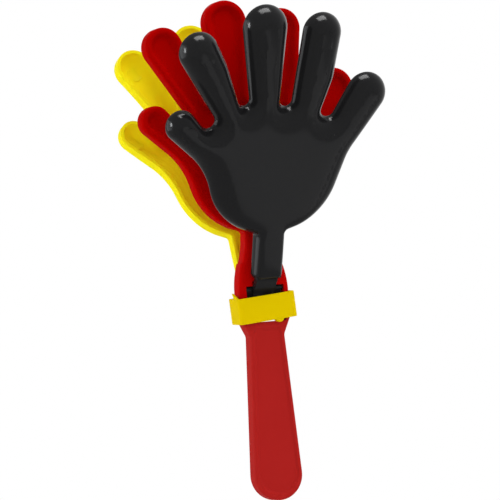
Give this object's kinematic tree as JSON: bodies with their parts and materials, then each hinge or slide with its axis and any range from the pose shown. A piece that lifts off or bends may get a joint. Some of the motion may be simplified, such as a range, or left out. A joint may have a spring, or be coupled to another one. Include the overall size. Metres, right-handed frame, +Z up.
{
  "type": "hand clapper",
  "caption": "Hand-shaped clapper: a flat middle hand on a handle, with a hollow hand hinged in front and another behind, which clap against it when it is shaken.",
  "frame": {"origin": "middle of the handle's grip, on the mid-plane of the handle", "axes": "+Z up the handle towards the fingers, +X across the hands towards the little fingers, -Y towards the front hand"},
  "size_m": [0.1289, 0.1346, 0.2797],
  "materials": {
    "red_plastic": "satin moulded",
    "black_plastic": "gloss moulded",
    "yellow_plastic": "gloss moulded",
    "collar_plastic": "satin moulded"
  },
  "bodies": {
    "handle": {"centre_hand": "red_plastic", "collar": "collar_plastic"},
    "front": {"front_hand": "black_plastic"},
    "rear": {"rear_hand": "yellow_plastic"}
  },
  "joints": [
    {"name": "front_hinge", "type": "hinge", "parent": "handle", "child": "front", "pos_m": [0, -0.00225, 0.072], "axis": [1, 0, 0], "range_deg": [-20.6, 0]},
    {"name": "rear_hinge", "type": "hinge", "parent": "handle", "child": "rear", "pos_m": [0, 0.00225, 0.072], "axis": [-1, 0, 0], "range_deg": [-17.6, 0]}
  ]
}
